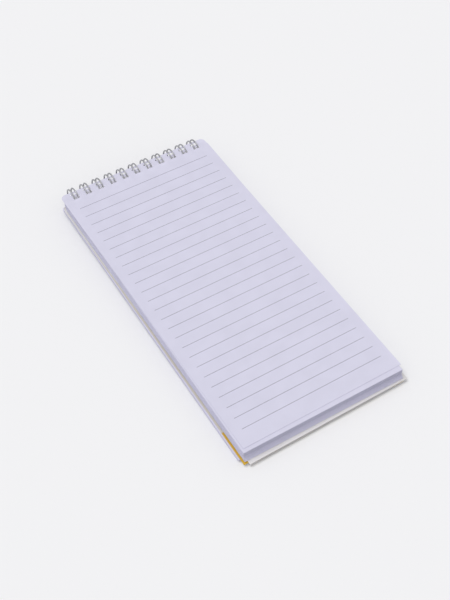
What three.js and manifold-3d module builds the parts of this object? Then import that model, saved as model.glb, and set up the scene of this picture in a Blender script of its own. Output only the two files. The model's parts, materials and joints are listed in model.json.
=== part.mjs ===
// A slim top-bound notebook on a closed twin-loop wire, lying folded back on itself.
// Millimetres. +X runs along the binding, +Y points from the foot towards the binding, +Z is up.
// Everything is laid out round the axis of the wire's rings, which is the line that each sheet turns on.

import * as THREE from 'three';
import { mergeVertices } from 'three/addons/utils/BufferGeometryUtils.js';
import Module from 'manifold-3d';

const wasm = await Module();
wasm.setup();

// ---- driving dimensions ----
const INCH = 25.4;
const LEAF_WIDTH = 101;
const LEAF_LENGTH = 8.125 * INCH;
const COVER_WIDTH = 4 * INCH;
const COVER_LENGTH = LEAF_LENGTH + 3.3;
const CORNER_RADIUS = 3; // the two corners beside the binding
const CORNER_SEGMENTS = 2; // an arc gets two sides for each

const LOOP_PITCH = INCH / 3; // three loops to the inch
const LOOP_COUNT = 11;
const HOLE_WIDTH = 4.6;
const HOLE_LENGTH = 4.8;
const HOLE_INSET = 4.0; // bound edge of a sheet to the middle of its holes

const WIRE_DIAMETER = 0.9;
const RING_RADIUS = 6.4; // to the middle of the wire
const TWIN_SPACING = 2.5; // between the two wires of one loop
const WIRE_SIDES = 6;
const RING_STEP = 22.5; // degrees between two points of a ring
const SPINE_HEIGHT = -1.68; // where the loops are linked, above or below the ring axis
const TIP_GAP = 10; // degrees of ring between the spine and the tips of the loops
const HAIRPIN_STEPS = 4;

const LEAF_THICKNESS = 0.15;
const LEAF_PITCH = 0.2;
const COVER_THICKNESS = 0.45;
const SHEET_GAP = LEAF_PITCH - LEAF_THICKNESS;

const TURNED_LEAF_COUNT = 8; // leaves folded round under the covers
const UPPER_LEAF_COUNT = 32; // leaves still on top
const TOP_OF_BOOK = 5.3; // upper face of the top leaf, above the ring axis
const TOP_OF_BACK_COVER = -2.15; // upper face of the back cover, below the ring axis

const LOWER_TILT = 0.597; // degrees, foot down: the lowest leaf's foot touches the table
const UPPER_TILT = 0.867; // degrees, foot down: the upper leaves meet the covers at the foot

// How each kind of sheet lies on the wire: its play towards the binding and to the right, in
// millimetres, and its skew in degrees, counter-clockwise seen from above.
const LAY = {
  topLeaf: { up: 1, right: -0.3, skew: 0.6 },
  upperLeaf: { right: 0.3, skew: 0.1 },
  backCover: { up: 0.4, right: -0.4, skew: 0.8 },
  frontCover: { up: 1, right: 0.1, skew: -0.07 },
  turnedLeaf: { up: 1.15, right: -0.48, skew: -0.25 },
};
// The upper leaves hang straight below each other down to a height above the ring axis, and
// spread out towards the foot below it.
const UPPER_REACH = 5.3; // ring axis to the middle of the holes, across the binding
const UPPER_SPREAD = 1.95; // how much farther the lowest of them reaches
const SPREAD_START = 1.2;
const UNEVENNESS = 0.07; // how far neighbouring leaves differ in their lay

// ---- materials ----
const paper = new THREE.MeshStandardMaterial({ color: 0xeceaf4, roughness: 0.9, metalness: 0 });
const backCard = new THREE.MeshStandardMaterial({ color: 0xe9e7e6, roughness: 0.75, metalness: 0 });
const frontCard = new THREE.MeshStandardMaterial({ color: 0xc9a04a, roughness: 0.6, metalness: 0 });
const steel = new THREE.MeshStandardMaterial({ color: 0x8d8d92, roughness: 0.35, metalness: 1 });

// ---- sheets ----

// Outline of a sheet with the middle hole's centre at the origin and its foot towards -Y.
function sheetShape(width, length) {
  const left = -width / 2;
  const right = width / 2;
  const top = HOLE_INSET;
  const foot = top - length;
  const arcY = top - CORNER_RADIUS;
  const shape = new THREE.Shape();
  shape.moveTo(left, foot);
  shape.lineTo(right, foot);
  shape.absarc(right - CORNER_RADIUS, arcY, CORNER_RADIUS, 0, Math.PI / 2, false);
  shape.absarc(left + CORNER_RADIUS, arcY, CORNER_RADIUS, Math.PI / 2, Math.PI, false);
  shape.closePath();
  return shape;
}

function loopMiddle(loop) {
  return (loop - (LOOP_COUNT - 1) / 2) * LOOP_PITCH;
}

// A sheet from its outline, with a square hole punched through it for each loop.
function sheetGeometry(width, length, thickness) {
  const blank = new THREE.ExtrudeGeometry(sheetShape(width, length), {
    depth: thickness,
    bevelEnabled: false,
    curveSegments: CORNER_SEGMENTS,
  });
  const punchHeight = thickness * 3;
  let sheet = toSolid(blank);
  for (let loop = 0; loop < LOOP_COUNT; loop += 1) {
    const punch = new THREE.BoxGeometry(HOLE_WIDTH, HOLE_LENGTH, punchHeight);
    punch.translate(loopMiddle(loop), 0, thickness / 2);
    sheet = sheet.subtract(toSolid(punch));
  }
  return toGeometry(sheet);
}

function toSolid(geometry) {
  const bare = geometry.clone();
  bare.deleteAttribute('normal');
  bare.deleteAttribute('uv');
  const merged = mergeVertices(bare);
  return new wasm.Manifold(new wasm.Mesh({
    numProp: 3,
    vertProperties: new Float32Array(merged.attributes.position.array),
    triVerts: new Uint32Array(merged.index.array),
  }));
}

function toGeometry(solid) {
  const mesh = solid.getMesh();
  const geometry = new THREE.BufferGeometry();
  geometry.setAttribute('position', new THREE.BufferAttribute(mesh.vertProperties, mesh.numProp));
  geometry.setIndex(new THREE.BufferAttribute(mesh.triVerts, 1));
  geometry.computeVertexNormals();
  return geometry;
}

// How far the ring reaches across the binding at a height.
function ringReach(height) {
  return Math.sqrt(RING_RADIUS ** 2 - height ** 2);
}

// A sheet at a height on the wire: its holes follow the ring there, and its lay shifts it in them.
function addSheet(stack, name, geometry, thickness, material, bottom, lay) {
  const mesh = new THREE.Mesh(geometry, material);
  const middle = bottom + thickness / 2;
  mesh.name = name;
  mesh.position.set(lay.right, lay.up - ringReach(middle), bottom);
  mesh.rotation.z = THREE.MathUtils.degToRad(lay.skew);
  stack.add(mesh);
}

// Neighbouring leaves never lie quite alike; this small wave stands for that.
function unevenLay(lay, number) {
  return {
    up: lay.up + UNEVENNESS * Math.sin(number * 2.4),
    right: lay.right + UNEVENNESS * Math.sin(number * 1.7),
    skew: lay.skew + UNEVENNESS * Math.sin(number * 3.1) / 2,
  };
}

function upperLay(number, middle) {
  const lowest = TOP_OF_BOOK - LEAF_PITCH * UPPER_LEAF_COUNT;
  const descent = Math.max(0, (SPREAD_START - middle) / (SPREAD_START - lowest));
  const reach = UPPER_REACH + UPPER_SPREAD * descent ** 1.2;
  return unevenLay({ ...LAY.upperLeaf, up: ringReach(middle) - reach }, number);
}

function leafName(number) {
  return `leaf_${String(number).padStart(2, '0')}`;
}

// ---- twin-loop wire ----

// The wire's middle line, corner point by corner point.
class WirePath extends THREE.Curve {
  constructor(points) {
    super();
    this.points = points;
  }

  getPoint(t, target = new THREE.Vector3()) {
    const last = this.points.length - 1;
    const place = THREE.MathUtils.clamp(t * last, 0, last);
    const index = Math.min(Math.floor(place), last - 1);
    return target.lerpVectors(this.points[index], this.points[index + 1], place - index);
  }

  // One extrusion step from each point to the next, however far apart they are.
  getUtoTmapping(u) {
    return u;
  }
}

// A point on the ring: 0 degrees faces the foot and 90 is its top.
function ringPoint(x, degrees) {
  const angle = THREE.MathUtils.degToRad(degrees);
  return new THREE.Vector3(x, -RING_RADIUS * Math.cos(angle), RING_RADIUS * Math.sin(angle));
}

// One of the two wires of a loop, from the spine down and round to the hairpin.
function ringStretch(x, spineAngle, hairpinAngle) {
  const points = [ringPoint(x, spineAngle - 9)];
  for (let angle = -45; angle > hairpinAngle - 360 + RING_STEP / 2; angle -= RING_STEP) {
    points.push(ringPoint(x, angle));
  }
  points.push(ringPoint(x, hairpinAngle));
  return points;
}

function wirePoints() {
  const spineAngle = THREE.MathUtils.radToDeg(Math.asin(SPINE_HEIGHT / RING_RADIUS));
  const halfTwin = TWIN_SPACING / 2;
  const hairpinReach = THREE.MathUtils.radToDeg(halfTwin / RING_RADIUS);
  const hairpinAngle = spineAngle + TIP_GAP + hairpinReach;
  const bend = 0.9; // how far from a loop the spine starts to turn into it
  const points = [];
  for (let loop = 0; loop < LOOP_COUNT; loop += 1) {
    const x = loopMiddle(loop);
    points.push(ringPoint(x - halfTwin - bend, spineAngle));
    points.push(ringPoint(x - halfTwin - bend / 3, spineAngle - 1.5));
    points.push(...ringStretch(x - halfTwin, spineAngle, hairpinAngle));
    for (let step = 1; step < HAIRPIN_STEPS; step += 1) {
      const turn = Math.PI * step / HAIRPIN_STEPS;
      points.push(ringPoint(x - halfTwin * Math.cos(turn), hairpinAngle - hairpinReach * Math.sin(turn)));
    }
    points.push(...ringStretch(x + halfTwin, spineAngle, hairpinAngle).reverse());
    points.push(ringPoint(x + halfTwin + bend / 3, spineAngle - 1.5));
    points.push(ringPoint(x + halfTwin + bend, spineAngle));
  }
  return points;
}

function wireMesh() {
  const points = wirePoints();
  const section = new THREE.Shape();
  for (let side = 0; side < WIRE_SIDES; side += 1) {
    const angle = 2 * Math.PI * side / WIRE_SIDES;
    const x = WIRE_DIAMETER / 2 * Math.cos(angle);
    const y = WIRE_DIAMETER / 2 * Math.sin(angle);
    if (side === 0) section.moveTo(x, y);
    else section.lineTo(x, y);
  }
  section.closePath();
  const geometry = new THREE.ExtrudeGeometry(section, {
    steps: points.length - 1,
    bevelEnabled: false,
    extrudePath: new WirePath(points),
  });
  const mesh = new THREE.Mesh(geometry, steel);
  mesh.name = 'twin_loop_wire';
  return mesh;
}

// ---- assembly ----
const leafGeometry = sheetGeometry(LEAF_WIDTH, LEAF_LENGTH, LEAF_THICKNESS);
const coverGeometry = sheetGeometry(COVER_WIDTH, COVER_LENGTH, COVER_THICKNESS);

function lowerStack() {
  const stack = new THREE.Group();
  stack.rotation.x = THREE.MathUtils.degToRad(LOWER_TILT);
  let bottom = TOP_OF_BACK_COVER - COVER_THICKNESS;
  addSheet(stack, 'back_cover', coverGeometry, COVER_THICKNESS, backCard, bottom, LAY.backCover);
  bottom -= COVER_THICKNESS + SHEET_GAP;
  addSheet(stack, 'front_cover', coverGeometry, COVER_THICKNESS, frontCard, bottom, LAY.frontCover);
  bottom -= LEAF_PITCH;
  for (let number = 1; number <= TURNED_LEAF_COUNT; number += 1) {
    const lay = unevenLay(LAY.turnedLeaf, number);
    addSheet(stack, leafName(number), leafGeometry, LEAF_THICKNESS, paper, bottom, lay);
    bottom -= LEAF_PITCH;
  }
  return stack;
}

function upperStack() {
  const stack = new THREE.Group();
  stack.rotation.x = THREE.MathUtils.degToRad(UPPER_TILT);
  for (let index = 0; index < UPPER_LEAF_COUNT; index += 1) {
    const number = TURNED_LEAF_COUNT + 1 + index;
    const bottom = TOP_OF_BOOK - LEAF_THICKNESS - LEAF_PITCH * index;
    const lay = index === 0 ? LAY.topLeaf : upperLay(number, bottom + LEAF_THICKNESS / 2);
    addSheet(stack, leafName(number), leafGeometry, LEAF_THICKNESS, paper, bottom, lay);
  }
  return stack;
}

const notebook = new THREE.Group();
notebook.add(wireMesh(), lowerStack(), upperStack());

// The part's origin: the middle of its footprint, on the table.
const bounds = new THREE.Box3().setFromObject(notebook, true);
const footprintMiddle = bounds.getCenter(new THREE.Vector3());
notebook.position.set(-footprintMiddle.x, -footprintMiddle.y, -bounds.min.z);

export default notebook;
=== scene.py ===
import json
import math
import random

import bmesh
import bpy
from mathutils import Euler, Matrix, Vector


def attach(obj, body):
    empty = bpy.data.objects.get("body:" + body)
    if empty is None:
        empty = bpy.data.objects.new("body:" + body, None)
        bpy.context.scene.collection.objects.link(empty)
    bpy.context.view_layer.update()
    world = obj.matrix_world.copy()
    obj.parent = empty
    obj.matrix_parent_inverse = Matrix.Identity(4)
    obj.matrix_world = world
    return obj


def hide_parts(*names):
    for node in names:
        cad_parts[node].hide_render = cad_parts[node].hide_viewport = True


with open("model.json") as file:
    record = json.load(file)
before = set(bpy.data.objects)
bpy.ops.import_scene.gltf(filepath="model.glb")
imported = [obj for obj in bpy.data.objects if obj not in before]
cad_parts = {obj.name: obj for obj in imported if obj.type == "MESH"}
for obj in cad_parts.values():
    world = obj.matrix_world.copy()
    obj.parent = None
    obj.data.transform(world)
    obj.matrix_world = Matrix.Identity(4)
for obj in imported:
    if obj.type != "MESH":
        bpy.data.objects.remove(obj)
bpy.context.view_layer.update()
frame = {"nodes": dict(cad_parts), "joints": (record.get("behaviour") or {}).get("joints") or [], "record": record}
mm = 0.001
topLeaf = "leaf_09"


# what the frame says: the axis that every sheet turns on, and where a sheet lies

def ringAxis():
    hinge = next(joint for joint in frame["joints"] if joint["type"] == "hinge")
    return Vector(hinge["pos_m"])


def bodyOf(node):
    return next(body for body, nodes in frame["record"]["behaviour"]["bodies"].items() if node in nodes)


def farthest(node, direction):
    toward = Vector(direction)
    return max((v.co for v in frame["nodes"][node].data.vertices), key=toward.dot).copy()


def sheetPlace(node):       # the matrix of its left foot corner, and its width, length and thickness
    footLeft = farthest(node, (-1, -1, -1))
    footRight = farthest(node, (1, -1, -1))
    boundLeft = farthest(node, (-1, 1, -1))
    upperLeft = farthest(node, (-1, -1, 1))
    across = (footRight - footLeft).normalized()
    up = across.cross(boundLeft - footLeft).normalized()
    along = up.cross(across)
    bound = farthest(node, along)
    place = Matrix((across, along, up)).transposed().to_4x4()
    place.translation = footLeft
    width = (footRight - footLeft).length
    length = (bound - footLeft).dot(along)
    thickness = (upperLeft - footLeft).length
    return place, Vector((width, length, thickness))


# camera: where it stands from the middle of the rings, and its turn in degrees, both level with the page

cameraFacts = {
    "across": -213.3 * mm,
    "along": -441.6 * mm,
    "above": 487.2 * mm,
    "turn": (38.53, -0.97, -31.41),
    "lens": 65.66,
    "seesTo": 20,               # metres
}


def makeCamera(facts):
    level = sheetPlace(topLeaf)[0].to_3x3().col[2]
    across = Vector((1, 0, 0))
    rings = Matrix((across, level.cross(across), level)).transposed().to_4x4()
    rings.translation = ringAxis()
    stand = Matrix.Translation((facts["across"], facts["along"], facts["above"]))
    turn = Euler([math.radians(angle) for angle in facts["turn"]]).to_matrix().to_4x4()
    data = bpy.data.cameras.new("camera")
    data.lens = facts["lens"]
    data.clip_end = facts["seesTo"]
    camera = bpy.data.objects.new("camera", data)
    camera.matrix_world = rings @ stand @ turn
    bpy.context.collection.objects.link(camera)
    bpy.context.scene.camera = camera
    print("camera set")


# studio: a pale floor, an even pale sky and one broad soft light beyond the binding

studioFacts = {
    "floorSize": 6.0,
    "floorColour": (0.91, 0.91, 0.92),
    "floorRoughness": 0.9,
    "floorShine": 0.1,
    "skyColour": (1.0, 1.0, 1.01),
    "skyStrength": 0.60,
    "sunStrength": 1.26,
    "sunSpread": 34,            # degrees
    "sunTurn": (-14, -14, 0),
}


def makeStudio(facts):
    scene = bpy.context.scene
    scene.view_settings.view_transform = "Standard"
    world = bpy.data.worlds.new("paleSky")
    world.use_nodes = True
    sky = world.node_tree.nodes["Background"]
    sky.inputs["Color"].default_value = (*facts["skyColour"], 1)
    sky.inputs["Strength"].default_value = facts["skyStrength"]
    scene.world = world

    bm = bmesh.new()
    bmesh.ops.create_grid(bm, x_segments=1, y_segments=1, size=facts["floorSize"] / 2)
    floor = meshObject("floor", bm)
    material, _, _, shader = newMaterial("paleFloor")
    shader.inputs["Base Color"].default_value = (*facts["floorColour"], 1)
    shader.inputs["Roughness"].default_value = facts["floorRoughness"]
    shader.inputs["Specular IOR Level"].default_value = facts["floorShine"]
    floor.data.materials.append(material)

    sunData = bpy.data.lights.new("softLight", "SUN")
    sunData.energy = facts["sunStrength"]
    sunData.angle = math.radians(facts["sunSpread"])
    sun = bpy.data.objects.new("softLight", sunData)
    sun.rotation_euler = [math.radians(angle) for angle in facts["sunTurn"]]
    bpy.context.collection.objects.link(sun)
    print("studio set")


# small helpers for meshes and materials

def meshObject(name, bm):
    mesh = bpy.data.meshes.new(name)
    bm.to_mesh(mesh)
    bm.free()
    made = bpy.data.objects.new(name, mesh)
    bpy.context.collection.objects.link(made)
    return made


def newMaterial(name):
    material = bpy.data.materials.new(name)
    material.use_nodes = True
    nodes = material.node_tree.nodes
    links = material.node_tree.links
    return material, nodes, links, nodes["Principled BSDF"]


def mathNode(nodes, links, operation, *values):
    node = nodes.new("ShaderNodeMath")
    node.operation = operation
    for socket, value in zip(node.inputs, values):
        if isinstance(value, (int, float)):
            socket.default_value = value
        else:
            links.new(value, socket)
    return node.outputs[0]


def mixColour(nodes, links, factor, first, second):
    node = nodes.new("ShaderNodeMix")
    node.data_type = "RGBA"
    links.new(factor, node.inputs["Factor"])
    for socket, value in ((node.inputs["A"], first), (node.inputs["B"], second)):
        if isinstance(value, tuple):
            socket.default_value = (*value, 1)
        else:
            links.new(value, socket)
    return node.outputs["Result"]


def noiseNode(nodes, links, coordinates, scale, detail=3, roughness=0.5, stretch=(1, 1, 1)):
    mapping = nodes.new("ShaderNodeMapping")
    mapping.inputs["Scale"].default_value = stretch
    links.new(coordinates, mapping.inputs["Vector"])
    noise = nodes.new("ShaderNodeTexNoise")
    noise.inputs["Scale"].default_value = scale
    noise.inputs["Detail"].default_value = detail
    noise.inputs["Roughness"].default_value = roughness
    links.new(mapping.outputs["Vector"], noise.inputs["Vector"])
    return noise.outputs["Fac"]


def rangeNode(nodes, links, value, low, high, newLow=0.0, newHigh=1.0):
    node = nodes.new("ShaderNodeMapRange")
    node.interpolation_type = "SMOOTHSTEP"
    links.new(value, node.inputs["Value"])
    node.inputs["From Min"].default_value = low
    node.inputs["From Max"].default_value = high
    node.inputs["To Min"].default_value = newLow
    node.inputs["To Max"].default_value = newHigh
    return node.outputs["Result"]


def shaded(colour, share):
    return tuple(share * value for value in colour)


def addBump(nodes, links, shader, height, strength, distance):
    bump = nodes.new("ShaderNodeBump")
    bump.inputs["Strength"].default_value = strength
    bump.inputs["Distance"].default_value = distance
    links.new(height, bump.inputs["Height"])
    links.new(bump.outputs["Normal"], shader.inputs["Normal"])


# sheets: one outline with two rounded corners at the binding and a row of square holes.
# Their UV map "page" is in millimetres: across from the left edge, and down from the bound edge.

sheetFacts = {
    "cornerRadius": 3 * mm,
    "cornerSteps": 8,
    "holeCount": 11,
    "holePitch": 25.4 / 3 * mm,
    "holeInset": 4.0 * mm,      # bound edge to the middle of the holes
    "holeWidth": 4.6 * mm,
    "holeLength": 4.8 * mm,
    "holeCornerRadius": 0.35 * mm,
    "holeCornerSteps": 3,
    "outlineReach": 1 * mm,     # an edge farther in than this belongs to a hole
    "bendRows": 24,             # cuts that let a sheet bend
    "bendColumns": 8,
    "cutTolerance": 1e-7,
}


def roundedLoop(bm, left, bottom, width, length, radius, steps, corners):
    grid = bmesh.ops.create_grid(bm, x_segments=1, y_segments=1, size=0.5)["verts"]
    bmesh.ops.scale(bm, vec=(width, length, 1), verts=grid)
    bmesh.ops.translate(bm, vec=(left + width / 2, bottom + length / 2, 0), verts=grid)
    middle = bottom + length / 2
    chosen = [v for v in grid if corners == "all" or v.co.y > middle]
    bmesh.ops.bevel(
        bm, geom=chosen, affect="VERTICES", offset=radius, segments=steps, profile=0.5, material=-1
    )


def sheetBmesh(size, facts):
    bm = bmesh.new()
    roundedLoop(bm, 0, 0, size.x, size.y, facts["cornerRadius"], facts["cornerSteps"], "bound")
    for number in range(facts["holeCount"]):
        middle = size.x / 2 + facts["holePitch"] * (number - (facts["holeCount"] - 1) / 2)
        left = middle - facts["holeWidth"] / 2
        bottom = size.y - facts["holeInset"] - facts["holeLength"] / 2
        roundedLoop(
            bm, left, bottom, facts["holeWidth"], facts["holeLength"],
            facts["holeCornerRadius"], facts["holeCornerSteps"], "all"
        )
    bmesh.ops.delete(bm, geom=bm.faces[:], context="FACES_ONLY")
    bmesh.ops.triangle_fill(bm, use_beauty=True, edges=bm.edges[:])
    belowHoles = size.y - 2 * facts["holeInset"]
    for row in range(1, facts["bendRows"]):
        cutSheet(bm, (0, belowHoles * row / facts["bendRows"], 0), (0, 1, 0), facts["cutTolerance"])
    for column in range(1, facts["bendColumns"]):
        cutSheet(bm, (size.x * column / facts["bendColumns"], 0, 0), (1, 0, 0), facts["cutTolerance"])
    bmesh.ops.triangulate(bm, faces=bm.faces[:])
    bmesh.ops.recalc_face_normals(bm, faces=bm.faces[:])
    if sum(face.normal.z for face in bm.faces) > 0:     # this is the underside, so it faces down
        bmesh.ops.reverse_faces(bm, faces=bm.faces[:])
    return bm


def cutSheet(bm, point, normal, tolerance):
    everything = bm.verts[:] + bm.edges[:] + bm.faces[:]
    bmesh.ops.bisect_plane(bm, geom=everything, plane_co=point, plane_no=normal, dist=tolerance)


def thicken(bm, thickness):
    upper = bmesh.ops.extrude_face_region(bm, geom=bm.faces[:])["geom"]
    upperVerts = [item for item in upper if isinstance(item, bmesh.types.BMVert)]
    bmesh.ops.translate(bm, vec=(0, 0, thickness), verts=upperVerts)
    bmesh.ops.recalc_face_normals(bm, faces=bm.faces[:])


def mapPage(bm, size):
    page = bm.loops.layers.uv.new("page")
    for face in bm.faces:
        for loop in face.loops:
            loop[page].uv = (loop.vert.co.x / mm, (size.y - loop.vert.co.y) / mm)


def bendSheet(bm, size, bend):
    for vert in bm.verts:
        vert.co.z += bend(vert.co.x / size.x, 1 - vert.co.y / size.y)


# the sides of a sheet, in the order of its materials
upperSide, lowerSide, trimmedEdge, punchedEdge, footEdge = range(5)


def faceSide(face, size, outlineReach):
    steep = 0.5
    if abs(face.normal.z) > steep:
        return upperSide if face.normal.z > 0 else lowerSide
    middle = face.calc_center_median()
    fromOutline = min(middle.x, size.x - middle.x, size.y - middle.y, middle.y)
    if fromOutline > outlineReach:
        return punchedEdge
    return footEdge if face.normal.y < -steep else trimmedEdge


def makeSheet(name, node, thickness, lift, bend, faceMaterials):
    place, size = sheetPlace(node)
    bm = sheetBmesh(size, sheetFacts)
    thicken(bm, thickness)
    mapPage(bm, size)
    for face in bm.faces:
        face.material_index = faceSide(face, size, sheetFacts["outlineReach"])
    bendSheet(bm, size, bend)
    bmesh.ops.translate(bm, vec=(0, 0, lift), verts=bm.verts[:])
    bmesh.ops.transform(bm, matrix=place, verts=bm.verts[:])
    sheet = meshObject(name, bm)
    for material in faceMaterials:
        sheet.data.materials.append(material)
    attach(sheet, bodyOf(node))
    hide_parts(node)


# paper: pale, faintly blue writing paper with grey ruled lines, and its cut edge, with painted shade on the cut
# edges and painted light on the lower leaves' feet and on the hole walls

paperFacts = {
    "colour": (0.718, 0.706, 0.85),
    # painted shade: the cut edges of the leaves, a darker copy of the paper
    "paintedShadeEdgeColour": (0.60, 0.59, 0.72),
    "paintedLightFootColour": (0.80, 0.79, 0.93),     # painted light: feet of the lower leaves, a lighter copy of the paper
    # painted light: the walls of the holes, much lighter than the paper
    "paintedLightHoleColour": (0.95, 0.945, 0.98),
    "cloudScale": 90,
    "cloudShade": 0.965,
    "fibreScale": 2600,
    "fibreStretch": (1, 0.35, 1),
    "fleckShare": 0.12,
    "fleckShade": 0.8,
    "roughness": (0.82, 0.94),
    "shine": 0.25,
    "bumpStrength": 0.12,
    "bumpHeight": 0.05 * mm,
    "glow": 0.06,               # share of the light that soaks through the sheet
    "edgeGlow": 0.9,
    "glowReach": 2.5 * mm,
    "paintedHoleGlow": 0.38,          # painted light: the hole walls glow with this strength, standing for light soaking through the paper
    "lineColour": (0.19, 0.185, 0.24),
    "firstLine": 14.92,         # millimetres down from the bound edge, at the left
    "linePitch": 7.55,
    "lineCount": 25,
    "lineLeft": 5.75,
    "lineRight": 95.0,
    "lineWidth": 0.24,
    "lineRise": -0.0018,        # how much the print climbs towards the right
    "thinInk": 0.78,            # share of the ink where the fibres break a line
}


def ruledLines(nodes, links, facts):
    page = nodes.new("ShaderNodeUVMap")
    page.uv_map = "page"
    split = nodes.new("ShaderNodeSeparateXYZ")
    links.new(page.outputs["UV"], split.inputs["Vector"])
    across, down = split.outputs["X"], split.outputs["Y"]
    rise = mathNode(nodes, links, "MULTIPLY", across, facts["lineRise"])
    level = mathNode(nodes, links, "ADD", down, rise)
    fromFirst = mathNode(nodes, links, "SUBTRACT", level, facts["firstLine"])
    steps = mathNode(nodes, links, "DIVIDE", fromFirst, facts["linePitch"])
    nearest = mathNode(nodes, links, "ROUND", steps)
    offLine = mathNode(nodes, links, "ABSOLUTE", mathNode(nodes, links, "SUBTRACT", steps, nearest))
    halfLine = facts["lineWidth"] / facts["linePitch"] / 2
    inked = rangeNode(nodes, links, offLine, halfLine * 0.8, halfLine * 1.2, 1, 0)
    started = mathNode(nodes, links, "GREATER_THAN", nearest, -0.5)
    ended = mathNode(nodes, links, "LESS_THAN", nearest, facts["lineCount"] - 0.5)
    fromLeft = mathNode(nodes, links, "GREATER_THAN", across, facts["lineLeft"])
    toRight = mathNode(nodes, links, "LESS_THAN", across, facts["lineRight"])
    for limit in (started, ended, fromLeft, toRight):
        inked = mathNode(nodes, links, "MULTIPLY", inked, limit)
    return inked


def paperMaterial(name, facts, colour, glow, ruled=False, paintedGlow=0):
    material, nodes, links, shader = newMaterial(name)
    place = nodes.new("ShaderNodeTexCoord").outputs["Object"]
    cloud = noiseNode(nodes, links, place, facts["cloudScale"], detail=4)
    fibre = noiseNode(nodes, links, place, facts["fibreScale"], detail=2, stretch=facts["fibreStretch"])
    tone = rangeNode(nodes, links, cloud, 0.3, 0.7)
    paper = mixColour(nodes, links, tone, shaded(colour, facts["cloudShade"]), colour)
    flecks = rangeNode(nodes, links, fibre, 0.62, 0.8, 0, facts["fleckShare"])
    paper = mixColour(nodes, links, flecks, paper, shaded(colour, facts["fleckShade"]))
    if ruled:
        broken = rangeNode(nodes, links, fibre, 0.3, 0.6, facts["thinInk"], 1)
        inked = mathNode(nodes, links, "MULTIPLY", ruledLines(nodes, links, facts), broken)
        paper = mixColour(nodes, links, inked, paper, facts["lineColour"])
    links.new(paper, shader.inputs["Base Color"])
    rough = rangeNode(nodes, links, fibre, 0.2, 0.8, *facts["roughness"])
    links.new(rough, shader.inputs["Roughness"])
    shader.inputs["Specular IOR Level"].default_value = facts["shine"]
    shader.inputs["Subsurface Weight"].default_value = glow
    shader.inputs["Subsurface Scale"].default_value = facts["glowReach"]
    shader.inputs["Subsurface Radius"].default_value = (1, 1, 1)
    # painted light: the sheet glows in its own colour by this strength, used for the hole walls only
    shader.inputs["Emission Color"].default_value = (*colour, 1)
    shader.inputs["Emission Strength"].default_value = paintedGlow
    addBump(nodes, links, shader, fibre, facts["bumpStrength"], facts["bumpHeight"])
    return material


# card: the white back cover, and the cream front cover with its printed golden band

cardFacts = {
    "white": (0.80, 0.785, 0.78),
    "core": (0.78, 0.765, 0.75),
    "cream": (0.64, 0.60, 0.53),
    "golden": (0.68, 0.42, 0.035),
    "bandWidth": 22.0,          # millimetres of the foot that the golden band covers
    "whiteRoughness": 0.7,
    "coreRoughness": 0.85,
    "printRoughness": 0.5,
    "shine": 0.35,
    "grainScale": 1400,
    "cloudScale": 60,
    "shadeColour": (0.3, 0.28, 0.25),
    "shadeShare": 0.05,
    "bumpStrength": 0.1,
    "bumpHeight": 0.04 * mm,
}


def plainCard(name, facts, colour, roughness):
    material, nodes, links, shader = newMaterial(name)
    finishCard(nodes, links, shader, facts, colour, roughness)
    return material


def finishCard(nodes, links, shader, facts, colour, roughness):
    place = nodes.new("ShaderNodeTexCoord").outputs["Object"]
    grain = noiseNode(nodes, links, place, facts["grainScale"], detail=4)
    cloud = noiseNode(nodes, links, place, facts["cloudScale"], detail=3)
    shade = rangeNode(nodes, links, cloud, 0.3, 0.7, 0, facts["shadeShare"])
    toned = mixColour(nodes, links, shade, colour, facts["shadeColour"])
    links.new(toned, shader.inputs["Base Color"])
    rough = rangeNode(nodes, links, grain, 0.25, 0.75, roughness - 0.06, roughness + 0.08)
    links.new(rough, shader.inputs["Roughness"])
    shader.inputs["Specular IOR Level"].default_value = facts["shine"]
    addBump(nodes, links, shader, grain, facts["bumpStrength"], facts["bumpHeight"])


def printedCard(name, facts, length):
    material, nodes, links, shader = newMaterial(name)
    page = nodes.new("ShaderNodeUVMap")
    page.uv_map = "page"
    split = nodes.new("ShaderNodeSeparateXYZ")
    links.new(page.outputs["UV"], split.inputs["Vector"])
    fromFoot = mathNode(nodes, links, "SUBTRACT", length / mm, split.outputs["Y"])
    band = mathNode(nodes, links, "LESS_THAN", fromFoot, facts["bandWidth"])
    colour = mixColour(nodes, links, band, facts["cream"], facts["golden"])
    finishCard(nodes, links, shader, facts, colour, facts["printRoughness"])
    return material


# wire: one zinc plated steel wire, bent into twin loops along a spine

wireFacts = {
    "diameter": 0.9 * mm,
    "ringRadius": 6.4 * mm,
    "twinSpacing": 2.5 * mm,
    "pitch": 25.4 / 3 * mm,
    "loops": 11,
    "spineHeight": -1.68 * mm,  # from the ring axis
    "tipGap": 10,               # degrees of ring between the spine and the tips
    "bendRadius": 0.9 * mm,
    "ringStep": 7.5,            # degrees
    "bendSteps": 5,
    "hairpinSteps": 10,
    "roundness": 3,
    "mergeDistance": 1e-6,
    "colour": (0.52, 0.52, 0.545),
    "dullShade": 0.8,
    "cloudScale": 500,
    "streakScale": 3000,
    "streakStretch": (1, 0.3, 0.3),
    "roughness": (0.4, 0.56),
    "bumpStrength": 0.08,
    "bumpHeight": 0.02 * mm,
}


# the wire's middle line, first with its rings unrolled (across, along), then rolled round the axis

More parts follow.
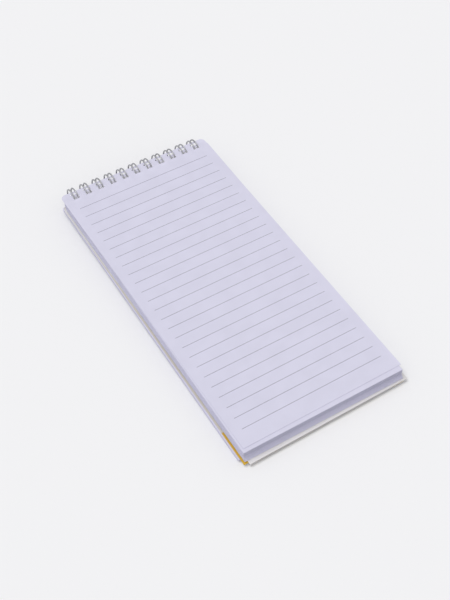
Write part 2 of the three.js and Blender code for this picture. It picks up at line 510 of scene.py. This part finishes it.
def wirePath(facts):
    radius = facts["ringRadius"]
    half = facts["twinSpacing"] / 2
    bend = facts["bendRadius"]
    spineAngle = math.asin(facts["spineHeight"] / radius)
    hairpin = (2 * math.pi - math.radians(facts["tipGap"])) * radius - half
    path = []
    for loop in range(facts["loops"]):
        middle = (loop - (facts["loops"] - 1) / 2) * facts["pitch"]
        outward = [(-half - bend * (1 - math.sin(turn)), bend * (1 - math.cos(turn)))
                   for turn in quarterTurn(facts["bendSteps"])]
        ringSteps = round(math.degrees((hairpin - bend) / radius) / facts["ringStep"])
        outward += [(-half, bend + (hairpin - bend) * step / ringSteps) for step in range(1, ringSteps)]
        tip = [(-half * math.cos(math.pi * step / facts["hairpinSteps"]),
                hairpin + half * math.sin(math.pi * step / facts["hairpinSteps"]))
               for step in range(facts["hairpinSteps"] + 1)]
        back = [(-across, along) for across, along in reversed(outward)]
        path += [(middle + across, along) for across, along in outward + tip + back]
    axis = ringAxis()
    turned = [(across, spineAngle - along / radius) for across, along in path]
    return [axis + Vector((across, -radius * math.cos(angle), radius * math.sin(angle)))
            for across, angle in turned]


def quarterTurn(steps):
    return [math.pi / 2 * step / steps for step in range(steps + 1)]


def steelMaterial(facts):
    material, nodes, links, shader = newMaterial("zincSteel")
    place = nodes.new("ShaderNodeTexCoord").outputs["Object"]
    cloud = noiseNode(nodes, links, place, facts["cloudScale"], detail=4, roughness=0.6)
    streaks = noiseNode(nodes, links, place, facts["streakScale"], detail=2, stretch=facts["streakStretch"])
    tone = rangeNode(nodes, links, cloud, 0.3, 0.7)
    dull = shaded(facts["colour"], facts["dullShade"])
    links.new(mixColour(nodes, links, tone, dull, facts["colour"]), shader.inputs["Base Color"])
    rough = rangeNode(nodes, links, streaks, 0.25, 0.75, *facts["roughness"])
    links.new(rough, shader.inputs["Roughness"])
    shader.inputs["Metallic"].default_value = 1
    addBump(nodes, links, shader, streaks, facts["bumpStrength"], facts["bumpHeight"])
    return material


def makeWire(facts):
    curve = bpy.data.curves.new("wirePath", "CURVE")
    curve.dimensions = "3D"
    curve.bevel_depth = facts["diameter"] / 2
    curve.bevel_resolution = facts["roundness"]
    curve.use_fill_caps = True
    path = wirePath(facts)
    spline = curve.splines.new("POLY")
    spline.points.add(len(path) - 1)
    for point, place in zip(spline.points, path):
        point.co = (*place, 1)
    drawn = bpy.data.objects.new("wirePath", curve)
    bpy.context.collection.objects.link(drawn)
    mesh = bpy.data.meshes.new_from_object(drawn.evaluated_get(bpy.context.evaluated_depsgraph_get()))
    bpy.data.objects.remove(drawn)
    bm = bmesh.new()
    bm.from_mesh(mesh)
    bmesh.ops.remove_doubles(bm, verts=bm.verts[:], dist=facts["mergeDistance"])
    bmesh.ops.recalc_face_normals(bm, faces=bm.faces[:])
    for face in bm.faces:
        face.smooth = True
    wire = meshObject("twinLoopWire", bm)
    wire.data.materials.append(steelMaterial(facts))
    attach(wire, bodyOf("twin_loop_wire"))
    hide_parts("twin_loop_wire")
    print("wire bent:", len(wire.data.polygons), "faces")


# stack: every leaf and cover, each lying a little differently

stackFacts = {
    "leafThickness": 0.165 * mm,
    "leafPlay": 0.015 * mm,     # how far an inner leaf waves up and down in its space
    "waves": (0.6, 2.2),        # fewest and most half waves over a leaf
    "coverThickness": 0.45 * mm,
    "firstPaintedLightFootLeaf": 29,      # from this one down, the leaves' feet get painted light, a lighter copy of the paper
    "seed": 7,
}


def softWave(seed, height, waves):
    chance = random.Random(seed)
    phases = [chance.uniform(0, 2 * math.pi) for _ in range(3)]
    counts = [chance.uniform(*waves) for _ in range(3)]

    def bend(across, down):
        wave = math.sin(counts[0] * math.pi * down + phases[0])
        wave += math.sin(counts[1] * math.pi * across + phases[1])
        wave += math.sin(counts[2] * math.pi * (across + down) + phases[2])
        return height * wave / 3
    return bend


def noBend(across, down):
    return 0


def makeStack(facts):
    glow, edgeGlow = paperFacts["glow"], paperFacts["edgeGlow"]
    ruled = paperMaterial("ruledPaper", paperFacts, paperFacts["colour"], glow, ruled=True)
    # painted shade: a darker copy of the paper for the cut edges and the feet of the upper leaves
    paintedShadeEdge = paperMaterial("paintedShadeEdgePaper", paperFacts, paperFacts["paintedShadeEdgeColour"], glow)
    # painted light: a lighter copy of the paper for the feet of the lower leaves
    paintedLightFoot = paperMaterial("paintedLightFootPaper", paperFacts, paperFacts["paintedLightFootColour"], glow)
    # painted light: a pale copy of the paper that glows, on the walls of the holes
    paintedLightHoleColour, paintedHoleGlow = paperFacts["paintedLightHoleColour"], paperFacts["paintedHoleGlow"]
    paintedLightHole = paperMaterial("paintedLightHolePaper", paperFacts, paintedLightHoleColour, edgeGlow, paintedGlow=paintedHoleGlow)
    leaves = sorted(name for name in frame["nodes"] if name.startswith("leaf_"))
    for number, node in enumerate(leaves, 1):
        space = sheetPlace(node)[1].z
        lift = (space - facts["leafThickness"]) / 2
        bend = softWave(facts["seed"] + number, facts["leafPlay"], facts["waves"])
        foot = paintedLightFoot if number >= facts["firstPaintedLightFootLeaf"] else paintedShadeEdge
        faces = (ruled, ruled, paintedShadeEdge, paintedLightHole, foot)
        makeSheet(f"leaf{number:02d}", node, facts["leafThickness"], lift, bend, faces)
    print("leaves laid:", len(leaves))

    white = plainCard("whiteCard", cardFacts, cardFacts["white"], cardFacts["whiteRoughness"])
    core = plainCard("cardCore", cardFacts, cardFacts["core"], cardFacts["coreRoughness"])
    thickness = facts["coverThickness"]
    faces = (white, white, core, core, core)
    makeSheet("backCover", "back_cover", thickness, 0, noBend, faces)
    length = sheetPlace("front_cover")[1].y
    printed = printedCard("printedCard", cardFacts, length)
    faces = (printed, white, printed, core, printed)
    makeSheet("frontCover", "front_cover", thickness, 0, noBend, faces)
    print("covers laid")


makeCamera(cameraFacts)
makeStudio(studioFacts)
makeWire(wireFacts)
makeStack(stackFacts)
